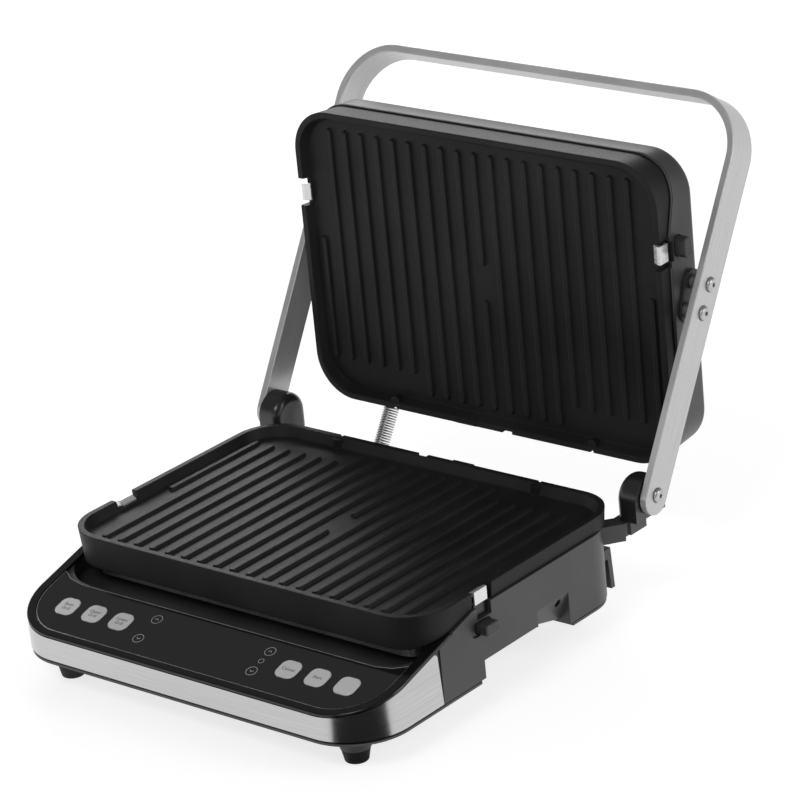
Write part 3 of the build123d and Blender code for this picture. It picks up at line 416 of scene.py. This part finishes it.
# %% Brushed steel and screws
arm_lean = math.radians(30.85)
handle_steel = new_finish("handle_steel", (0.7, 0.7, 0.705), 0.32, metallic=0.45,
                          Anisotropic=0.4)
soften(handle_steel, 0.5)
add_grain(handle_steel, 0.22, stretch=(250, 1, 250), turn=(-arm_lean, 0, 0), detail=2,
          tones=((0.56, 0.56, 0.565), (0.68, 0.68, 0.685)), rough=(0.26, 0.38),
          bump_mm=0.006, strength=0.4)
dress(handle_steel, "handle")

band_steel = new_finish("band_steel", grey(0.58), 0.27, metallic=1.0, Anisotropic=0.4)
add_grain(band_steel, 0.2, stretch=(300, 300, 1), detail=2, tones=(grey(0.48), grey(0.6)),
          rough=(0.16, 0.26), bump_mm=0.005, strength=0.4)
dress(band_steel, "steel_band")

screw_steel = new_finish("screw_steel", (0.6, 0.6, 0.61), 0.3, metallic=0.9)
add_grain(screw_steel, 0.4, stretch=(1, 8, 8), detail=2,
          tones=((0.44, 0.44, 0.45), (0.56, 0.56, 0.57)), rough=(0.26, 0.4))
dress(screw_steel, "hinge_screws", "lid_screws", "arm_spacers", "cover_screws")

lower_step_mm, upper_step_mm, step_width_mm = 71.1, 197.4, 0.4
step_shade = grey(0.008)
catch_steel = new_finish("catch_steel", grey(0.8), 0.28, metallic=0.75)
add_grain(catch_steel, 0.25, stretch=(60, 60, 1), detail=2,
          tones=((0.74, 0.74, 0.75), (0.86, 0.86, 0.87)), rough=(0.2, 0.36))
soften(catch_steel, 0.3)
catch_steel_upper = catch_steel.copy()
catch_steel_upper.name = "catch_steel_upper"
turn_past(catch_steel, "Z", lower_step_mm, -step_width_mm, step_shade, metallic=0)
turn_past(catch_steel_upper, "Y", upper_step_mm, step_width_mm, step_shade, metallic=0)
dress(catch_steel, "lower_catch_left", "lower_catch_right")
dress(catch_steel_upper, "upper_catch_left", "upper_catch_right")

# %% Inner metals, board and wire
heater_steel = new_finish("heater_steel", (0.2, 0.17, 0.15), 0.45, metallic=0.9)
add_grain(heater_steel, 14, detail=3, tones=((0.12, 0.1, 0.1), (0.26, 0.2, 0.16)),
          rough=(0.35, 0.6), bump_mm=0.05, strength=0.3)
dress(heater_steel, "lower_heater", "upper_heater")

reflector_sheet = new_finish("reflector_sheet", grey(0.7), 0.25, metallic=1.0)
add_grain(reflector_sheet, 0.5, stretch=(80, 1, 80), tones=(grey(0.62), grey(0.76)),
          rough=(0.2, 0.36))
dress(reflector_sheet, "lower_reflector", "upper_reflector")

board_lacquer = new_finish("board_lacquer", (0.02, 0.1, 0.05), 0.35)
add_grain(board_lacquer, 3, tones=((0.015, 0.08, 0.04), (0.03, 0.14, 0.07)), rough=(0.3, 0.5))
dress(board_lacquer, "control_board")

wire_steel = new_finish("wire_steel", grey(0.4), 0.25, metallic=1.0)
add_grain(wire_steel, 2.5, detail=3, tones=(grey(0.3), grey(0.46)), rough=(0.18, 0.34))
print("wire_steel is ready for the sleeve")

# %% [markdown]
# ## The wound sleeve
# The lid's wiring runs in a sleeve wound from round steel wire, which leaves the base, turns up
# and goes into the lid. It bends as the lid moves. One way is a long curve with a thick bevel.
# Here a small circle is spun into a straight spring by a Screw modifier, and a Curve modifier
# then lays the spring along the sleeve's line, as it would be wound and then bent. It is made as
# two halves, a lower one of forty turns and an upper one of the rest, and they meet where the
# sleeve is freest.

# %% Sleeve line
coil_radius = 0.00485
coil_pitch = 0.00175
coil_turns = 65
sleeve_x = -0.097
sleeve_low = 0.038
sleeve_start = 0.121
sleeve_run = 0.0422
sleeve_bend = 0.028
sleeve_rise = math.radians(56.6)
end_pull, knot_pull = 0.01, 0.014


def sleeve_point(distance):
    """Point of the sleeve's centre line at a distance along it."""
    turned = min(max((distance - sleeve_run) / sleeve_bend, 0), sleeve_rise)
    beyond = max(distance - sleeve_run - sleeve_bend * sleeve_rise, 0)
    y = (sleeve_start + min(distance, sleeve_run) + sleeve_bend * math.sin(turned)
         + beyond * math.cos(turned))
    z = sleeve_low + sleeve_bend * (1 - math.cos(turned)) + beyond * math.sin(turned)
    return Vector((sleeve_x, y, z))


def sleeve_curve():
    """A curve along the sleeve: two straight ends and one bend between them."""
    bend_pull = 4 / 3 * math.tan(sleeve_rise / 4) * sleeve_bend
    ahead = Vector((0, 1, 0))
    upward = Vector((0, math.cos(sleeve_rise), math.sin(sleeve_rise)))
    first, last = sleeve_point(0), sleeve_point(coil_turns * coil_pitch)
    bend_start = sleeve_point(sleeve_run)
    bend_end = sleeve_point(sleeve_run + sleeve_bend * sleeve_rise)
    knots = [
        (first, first - ahead * end_pull, first + ahead * knot_pull),
        (bend_start, bend_start - ahead * knot_pull, bend_start + ahead * bend_pull),
        (bend_end, bend_end - upward * bend_pull, bend_end + upward * knot_pull),
        (last, last - upward * knot_pull, last + upward * end_pull),
    ]
    curve = bpy.data.curves.new("sleeve_line", "CURVE")
    curve.dimensions = "3D"
    curve.resolution_u = 48
    spline = curve.splines.new("BEZIER")
    spline.bezier_points.add(len(knots) - 1)
    for point, (place, left, right) in zip(spline.bezier_points, knots):
        point.co, point.handle_left, point.handle_right = place, left, right
    line = bpy.data.objects.new("sleeve_line", curve)
    bpy.context.scene.collection.objects.link(line)
    return line


sleeve_line = sleeve_curve()
print("sleeve length in mm:", round(coil_turns * coil_pitch * 1000, 1))

# %% Wind the two halves
wire_radius = 0.00058
wire_sides = 10
steps_per_turn = 20
turns_below = 40


def finish_mesh(thing, name, finish, angle=30):
    """Applies every modifier, puts the place into the mesh, and gives the finish."""
    deselect()
    thing.select_set(True)
    bpy.context.view_layer.objects.active = thing
    for modifier in list(thing.modifiers):
        bpy.ops.object.modifier_apply(modifier=modifier.name)
    bpy.ops.object.transform_apply(location=True, rotation=True, scale=True)
    bpy.ops.object.shade_smooth_by_angle(angle=math.radians(angle))
    thing.name = name
    thing.data.name = name
    thing.data.materials.clear()
    thing.data.materials.append(finish)
    return thing


def wind(name, first_turn, last_turn):
    """One half of the sleeve, wound from first_turn to last_turn along the line."""
    deselect()
    bpy.ops.mesh.primitive_circle_add(vertices=wire_sides, radius=wire_radius,
                                      location=(0, 0, 0))
    wire = bpy.context.object
    bpy.ops.object.mode_set(mode="EDIT")
    bpy.ops.mesh.select_all(action="SELECT")
    bpy.ops.transform.rotate(value=math.radians(90), orient_axis="X", center_override=(0, 0, 0))
    bpy.ops.transform.translate(value=(coil_radius, 0, 0))
    bpy.ops.object.mode_set(mode="OBJECT")
    screw = wire.modifiers.new("wind", "SCREW")
    screw.axis = "Z"
    screw.angle = 2 * math.pi
    screw.screw_offset = coil_pitch
    screw.iterations = last_turn - first_turn
    screw.steps = screw.render_steps = steps_per_turn
    screw.use_normal_calculate = True
    bpy.ops.object.modifier_apply(modifier=screw.name)
    bpy.ops.object.mode_set(mode="EDIT")
    bpy.ops.mesh.select_all(action="SELECT")
    bpy.ops.transform.translate(value=(0, 0, first_turn * coil_pitch))
    bpy.ops.mesh.select_all(action="DESELECT")
    bpy.ops.mesh.select_mode(type="EDGE")
    bpy.ops.mesh.select_non_manifold()
    bpy.ops.mesh.edge_face_add()
    bpy.ops.mesh.select_all(action="SELECT")
    bpy.ops.mesh.normals_make_consistent(inside=False)
    bpy.ops.object.mode_set(mode="OBJECT")
    follow = wire.modifiers.new("follow", "CURVE")
    follow.object = sleeve_line
    follow.deform_axis = "POS_Z"
    return finish_mesh(wire, name, wire_steel)


sleeve_lower = wind("sleeve_coil_lower", 0, turns_below)
sleeve_upper = wind("sleeve_coil_upper", turns_below, coil_turns)
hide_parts("cable_sleeve")
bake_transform(sleeve_lower)
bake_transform(sleeve_upper)
bpy.data.objects.remove(sleeve_line)
for half in (sleeve_lower, sleeve_upper):
    print(half.name, len(half.data.polygons), "faces")

# %% [markdown]
# ## Hinge towers
# The towers look like one smooth polished form: an arch from the side, with the inner edges
# rounded so far that a lamp shows in them as an upright streak. Here a cylinder lies across,
# loses its lower half to a bisection, and the cut is extruded down to the bracket. A wide bevel
# then rounds the inner side.

# %% Round the towers
tower_inner, tower_outer = 0.1398, 0.156
tower_middle, tower_spring, tower_foot = 0.1484, 0.079, 0.0662
tower_half, tower_rise, tower_bevel = 0.0152, 0.0142, 0.0062
arch_sides, bevel_steps = 64, 8
close_by, touching = 0.0001, 0.00001


def tower(name, side):
    """One hinge tower; side is -1 for the left and 1 for the right."""
    deselect()
    bpy.ops.mesh.primitive_cylinder_add(
        vertices=arch_sides, radius=tower_half, depth=tower_outer - tower_inner,
        location=(side * (tower_inner + tower_outer) / 2, tower_middle, tower_spring),
        rotation=(0, math.pi / 2, 0))
    form = bpy.context.object
    bpy.ops.object.transform_apply(location=True, rotation=True, scale=True)
    bpy.ops.object.mode_set(mode="EDIT")
    bpy.ops.mesh.select_all(action="SELECT")
    bpy.ops.mesh.bisect(plane_co=(0, 0, tower_spring), plane_no=(0, 0, 1),
                        clear_inner=True, use_fill=True)
    bpy.ops.mesh.select_all(action="DESELECT")
    bpy.ops.mesh.select_mode(type="FACE")
    shape = bmesh.from_edit_mesh(form.data)
    for vertex in shape.verts:
        vertex.co.z = tower_spring + (vertex.co.z - tower_spring) * tower_rise / tower_half
    shape.normal_update()
    for face in shape.faces:
        level = abs(face.normal.z) > 0.99
        face.select = level and face.calc_center_median().z < tower_spring + close_by
    bmesh.update_edit_mesh(form.data)
    down = (0, 0, tower_foot - tower_spring)
    bpy.ops.mesh.extrude_region_move(TRANSFORM_OT_translate={"value": down})
    bpy.ops.mesh.select_all(action="SELECT")
    bpy.ops.mesh.normals_make_consistent(inside=False)
    bpy.ops.mesh.select_mode(type="EDGE")
    bpy.ops.mesh.select_all(action="DESELECT")
    shape = bmesh.from_edit_mesh(form.data)
    for edge in shape.edges:
        ends = [vertex.co for vertex in edge.verts]
        inner = all(abs(abs(end.x) - tower_inner) < touching for end in ends)
        sides = {abs(face.normal.x) > 0.5 for face in edge.link_faces}
        above = max(end.z for end in ends) > tower_foot + close_by
        edge.select = inner and len(sides) > 1 and above
    bmesh.update_edit_mesh(form.data)
    bpy.ops.mesh.bevel(offset=tower_bevel, segments=bevel_steps, profile=0.5,
                       affect="EDGES", clamp_overlap=True)
    bpy.ops.object.mode_set(mode="OBJECT")
    finish_mesh(form, name, tower_shell, angle=40)
    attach(form, "base")
    return form


tower_shell = new_finish("tower_shell", (0.016, 0.016, 0.017), 0.3,
                         Coat_Weight=0.3, Coat_Roughness=0.2)
add_grain(tower_shell, 12, detail=3, rough=(0.24, 0.36))
add_grain(tower_shell, 1.0, detail=2, bump_mm=0.01, strength=0.3)
left_tower = tower("hinge_tower_left", -1)
right_tower = tower("hinge_tower_right", 1)
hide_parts("hinge_towers")
for form in (left_tower, right_tower):
    top = max(vertex.co.z for vertex in form.data.vertices)
    print(form.name, len(form.data.polygons), "faces, top at", round(top, 4))

# %% [markdown]
# Each domed screw sits in a shallow ring pressed into the arm, which shows as a dark outline of
# shade; a thin dark torus laid on the arm paints that shade.
# The screws lie on the arm's line, which starts at the hinge's axis.

# %% Painted shade rings round the screws
# The rings are thin dark tori that paint the shade round each screw.
ring_shade_paint = new_finish("ring_shadow", grey(0.05), 0.5, metallic=0.5)
add_grain(ring_shade_paint, 0.5, tones=(grey(0.03), grey(0.08)), rough=(0.4, 0.6))
arm_face = 0.1616
ring_radius, ring_wire = 0.0047, 0.00028
hinge_axis = Vector((0, 0.149, 0.081))
arm_way = Vector((0, math.sin(arm_lean), math.cos(arm_lean)))
screw_distances = {"hinge": 0.0, "guide": 0.1171, "pivot": 0.1356}
for label, distance in screw_distances.items():
    place = hinge_axis + arm_way * distance
    for side, side_name in ((-1, "left"), (1, "right")):
        deselect()
        bpy.ops.mesh.primitive_torus_add(
            major_radius=ring_radius, minor_radius=ring_wire, major_segments=40, minor_segments=8,
            location=(side * arm_face, place.y, place.z), rotation=(0, math.pi / 2, 0))
        ring = bpy.context.object
        finish_mesh(ring, f"screw_shade_ring_{label}_{side_name}", ring_shade_paint)
        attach(ring, "arms")
print("screw rings:", 2 * len(screw_distances))

# %% [markdown]
# ## The panel's marks
# Between the keys the black panel has touch spots: a thin printed ring with a chevron, one above
# the other, and a small ring between the right two. Print is only a few hundredths of a
# millimetre thick. Each mark is a flat piece on the panel's slope, made upright at the origin
# and then tilted into place.

# %% Print on the panel
panel_slope = math.atan(0.283)
panel_origin = Vector((0, -0.0924, 0.0499))
panel_turn = Matrix.Rotation(panel_slope, 4, "X")
panel_recess, panel_clearance, panel_sheet = 0.0015, 0.00002, 0.0014
panel_top = -panel_recess + panel_clearance + panel_sheet
print_thickness = 0.00005


def panel_place(x, y):
    """World place of a point on the panel's top, from its world x and y."""
    along = (y - panel_origin.y) / math.cos(panel_slope)
    return panel_origin + panel_turn @ Vector((x, along, panel_top))


print_paint = new_finish("panel_print", grey(0.5), 0.5)
add_grain(print_paint, 0.3, tones=(grey(0.44), grey(0.58)), rough=(0.4, 0.6))


def lay_on_panel(thing, name, x, y, finish, body="base", rise=0.0):
    """Tilts a flat piece made at the origin onto the panel."""
    thing.location = panel_place(x, y) + panel_turn @ Vector((0, 0, rise))
    thing.rotation_euler = (panel_slope, 0, 0)
    finish_mesh(thing, name, finish)
    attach(thing, body)


print("the panel slopes by", round(math.degrees(panel_slope), 1), "degrees")

# %% Touch spots
touch_outer, touch_line = 0.0038, 0.00035
chevron_size, chevron_line = 0.0028, 0.0005
chevron_peak, chevron_settle, chevron_middle = 0.38, 0.15, 0.1
time_outer, time_line = 0.0020, 0.0003
touch_x = 0.0464
touch_spots = {"up": (-0.0921, 1), "down": (-0.1101, -1)}
time_y = -0.1009


def thicken_print():
    """Extrudes the flat mesh in edit mode to the print's thickness and leaves edit mode."""
    upward = (0, 0, print_thickness)
    bpy.ops.mesh.extrude_region_move(TRANSFORM_OT_translate={"value": upward})
    bpy.ops.mesh.select_all(action="SELECT")
    bpy.ops.mesh.normals_make_consistent(inside=False)
    bpy.ops.object.mode_set(mode="OBJECT")


def flat_ring(outer, width, sides=48):
    """A thin flat ring at the origin, cut from a disc by an inset."""
    deselect()
    bpy.ops.mesh.primitive_circle_add(vertices=sides, radius=outer, fill_type="NGON",
                                      location=(0, 0, 0))
    ring = bpy.context.object
    bpy.ops.object.mode_set(mode="EDIT")
    bpy.ops.mesh.select_all(action="SELECT")
    bpy.ops.mesh.inset(thickness=width, depth=0)
    bpy.ops.mesh.delete(type="FACE")
    bpy.ops.mesh.select_all(action="SELECT")
    thicken_print()
    return ring


def chevron(size, width, up):
    """Two bars that meet in a point, made from one bar bent in the middle."""
    deselect()
    bpy.ops.mesh.primitive_plane_add(size=1, location=(0, 0, 0))
    bar = bpy.context.object
    bar.scale = (size, width, 1)
    bpy.ops.object.transform_apply(scale=True)
    bpy.ops.object.mode_set(mode="EDIT")
    bpy.ops.mesh.select_all(action="SELECT")
    bpy.ops.mesh.subdivide(number_cuts=1)
    bpy.ops.mesh.select_all(action="DESELECT")
    shape = bmesh.from_edit_mesh(bar.data)
    for vertex in shape.verts:
        vertex.select = abs(vertex.co.x) < size * chevron_middle
    shape.select_flush(True)
    bmesh.update_edit_mesh(bar.data)
    bpy.ops.transform.translate(value=(0, up * size * chevron_peak, 0))
    bpy.ops.mesh.select_all(action="SELECT")
    bpy.ops.transform.translate(value=(0, -up * size * chevron_settle, 0))
    thicken_print()
    return bar


for side, side_name in ((-1, "left"), (1, "right")):
    for way, (y, up) in touch_spots.items():
        spot = f"{side_name}_{way}"
        lay_on_panel(flat_ring(touch_outer, touch_line), f"touch_ring_{spot}", side * touch_x, y,
                     print_paint)
        lay_on_panel(chevron(chevron_size, chevron_line, up), f"touch_chevron_{spot}",
                     side * touch_x, y, print_paint)
lay_on_panel(flat_ring(time_outer, time_line, sides=32), "time_ring", touch_x, time_y,
             print_paint)
print("touch spots printed:", 2 * len(touch_spots))

# %% [markdown]
# ## Lines, words and the lid's seam
# The panel's polished edge and its moulding each show a fine light line, and each is painted in
# as a highlight: a thin silver line. The keys have a bright edge and plain words for what they
# do. Each line is a curve with a thin bevel, converted to a mesh and flattened. The same helper
# lays a soft bead in the seam of the lid, where the housing meets the plate's skirt.

# %% Painted highlight lines on the panel and the moulding
flat_share = 0.4
edge_radius, rim_radius = 0.0002, 0.00016


def thin_line(points, radius, closed=False):
    """A round line through points, as a mesh."""
    curve = bpy.data.curves.new("line", "CURVE")
    curve.dimensions = "3D"
    curve.bevel_depth = radius
    curve.bevel_resolution = 1
    curve.use_fill_caps = True
    spline = curve.splines.new("POLY")
    spline.points.add(len(points) - 1)
    for point, place in zip(spline.points, points):
        point.co = (*place, 1)
    spline.use_cyclic_u = closed
    line = bpy.data.objects.new("line", curve)
    bpy.context.scene.collection.objects.link(line)
    deselect()
    line.select_set(True)
    bpy.context.view_layer.objects.active = line
    bpy.ops.object.convert(target="MESH")
    return line


def arc(centre, radius, start, end, steps=14):
    """Points of an arc in the plane; angles are in degrees."""
    angles = [math.radians(start + (end - start) * step / steps) for step in range(steps + 1)]
    return [(centre[0] + radius * math.cos(a), centre[1] + radius * math.sin(a))
            for a in angles]


def flat_line(points, radius, closed=False):
    """A line through points at the origin's level, pressed flat."""
    line = thin_line([(x, y, 0) for x, y in points], radius, closed)
    bpy.ops.object.mode_set(mode="EDIT")
    bpy.ops.mesh.select_all(action="SELECT")
    bpy.ops.transform.resize(value=(1, 1, flat_share))
    bpy.ops.object.mode_set(mode="OBJECT")
    return line


def mirrored(points):
    """The points turned over to the left, in the reverse order."""
    return [(-x, y) for x, y in reversed(points)]


# Both lines are painted highlights: silver lines where the panel's edge and the moulding catch
# the light.
painted_highlight_silver = new_finish("painted_highlight_silver", grey(0.4), 0.35, metallic=0.4)
add_grain(painted_highlight_silver, 1.5, tones=(grey(0.3), grey(0.5)), rough=(0.3, 0.45))

panel_front, panel_rear, panel_end = -0.0318, 0.01154, 0.0186
panel_half, panel_straight, panel_corner = 0.141, 0.12, 0.034
turn_width, turn_rise = 0.009, 0.0024
edge_inset, rim_outset = 0.0004, 0.0012
moulding_rise = 0.00008


def front_corner(grow):
    """The panel's right front corner, grown by a distance."""
    centre = (panel_half - panel_corner, panel_front + panel_corner)
    return arc(centre, panel_corner + grow, -90, 0)


def panel_outline(grow):
    """Outline of the panel on its own slope, grown by a distance."""
    right = front_corner(grow)
    right += [(panel_half + grow, panel_end),
              (panel_half - turn_width, panel_rear + turn_rise + grow),
              (panel_straight, panel_rear + grow)]
    return right + mirrored(right)


edge_highlight = flat_line(panel_outline(-edge_inset), edge_radius, closed=True)
lay_on_panel(edge_highlight, "panel_edge_highlight", 0, panel_origin.y, painted_highlight_silver)
rim_corner = front_corner(rim_outset)
rim_highlight = flat_line(mirrored(rim_corner) + rim_corner, rim_radius)
lay_on_panel(rim_highlight, "panel_rim_highlight", 0, panel_origin.y, painted_highlight_silver,
             rise=moulding_rise)
for line in (edge_highlight, rim_highlight):
    print(line.name, len(line.data.polygons), "faces")

# %% Key edges and words
key_spots = (-0.1143, -0.0915, -0.0687, 0.0687, 0.0915, 0.1143)
key_words = ("Both\nGrill", "Upper\nGrill", "Lower\nGrill", "Cancel", "Start", "")
key_middle = -0.1015
key_rise = 0.00038
key_half, key_corner = 0.00725, 0.0048
word_size = 0.0036
ink = new_finish("key_ink", grey(0.02), 0.6)
add_grain(ink, 0.4, tones=(grey(0.015), grey(0.04)), rough=(0.5, 0.7))
key_edge_silver = new_finish("key_edge_silver", grey(0.7), 0.3, metallic=0.4)
add_grain(key_edge_silver, 0.6, tones=(grey(0.62), grey(0.78)), rough=(0.25, 0.4))


def key_edge():
    """Fine line round the top of a key."""
    middle = key_half - key_corner
    points = []
    for turn, (right, up) in enumerate(((1, 1), (-1, 1), (-1, -1), (1, -1))):
        points += arc((right * middle, up * middle), key_corner, turn * 90, turn * 90 + 90, 6)
    return flat_line(points, edge_radius, closed=True)


def word(text):
    """Printed words as a thin mesh at the origin."""
    deselect()
    bpy.ops.object.text_add(location=(0, 0, 0))
    print_text = bpy.context.object
    print_text.data.body = text
    print_text.data.size = word_size
    print_text.data.align_x = "CENTER"
    print_text.data.align_y = "CENTER"
    print_text.data.resolution_u = 3
    print_text.data.extrude = print_thickness / 2
    bpy.ops.object.convert(target="MESH")
    return print_text


for number, (x, text) in enumerate(zip(key_spots, key_words), start=1):
    key, cap = f"key_{number}", f"key_{number}_cap"
    lay_on_panel(key_edge(), f"key_edge_{number}", x, key_middle, key_edge_silver, cap,
                 key_rise)
    if text:
        lay_on_panel(word(text), f"key_word_{number}", x, key_middle, ink, cap, key_rise)
print("keys edged:", len(key_spots), "keys with words:", sum(map(bool, key_words)))

# %% [markdown]
# The bead of the lid's seam lies on the plate's skirt, which tapers by its draft, just inside
# the housing's edge. That edge is deep along the free edge of the lid, and comes nearer the
# plate's rim towards the hinge.

# %% Seam bead
bead_radius = 0.0007
plate_half, plate_length, plate_round = 0.1475, 0.203, 0.03
draft = math.tan(math.radians(5))
lid_front, lid_free = 0.1875, 0.2825
deep_seam, shallow_seam, deep_until = 0.0223, 0.011, 0.0087
seam_fall = 0.0113 / 0.0399
bead_steps = 12


def seam_depth(along):
    """Depth of the housing's edge behind the plate's rim, by distance from the free edge."""
    if along < deep_until:
        return deep_seam
    return max(deep_seam - (along - deep_until) * seam_fall, shallow_seam)


def seam_point(across, along, out_across, out_along):
    """World point of the bead beside the tapered skirt."""
    depth = seam_depth(along) - bead_radius
    inset = depth * draft - bead_radius
    return (across - out_across * inset, lid_front + depth,
            lid_free - along + out_along * inset)


def seam_path(start_along, far):
    """Points from one side round the free edge, or round the hinge edge when far is set."""
    side = plate_length - plate_round if far else plate_round
    quarter = -90 if far else 90
    way = side - start_along
    points = [seam_point(-plate_half, start_along + way * step / bead_steps, -1, 0)
              for step in range(bead_steps)]
    for centre, first in ((-1, 180), (1, 180 + quarter)):
        for step in range(bead_steps + 1):
            angle = math.radians(first + quarter * step / bead_steps)
            across, along = math.cos(angle), math.sin(angle)
            points.append(seam_point(
                centre * (plate_half - plate_round) + plate_round * across,
                side + plate_round * along, across, along))
    points += [seam_point(plate_half, side - way * step / bead_steps, 1, 0)
               for step in range(1, bead_steps + 1)]
    return points


for name, start_along, far in (("lid_seam_free", 0.049, False), ("lid_seam_hinge", 0.069, True)):
    line = thin_line(seam_path(start_along, far), bead_radius)
    bead = finish_mesh(line, name, wall_plastic)
    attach(bead, "lid")
    print(name, len(bead.data.polygons), "faces")
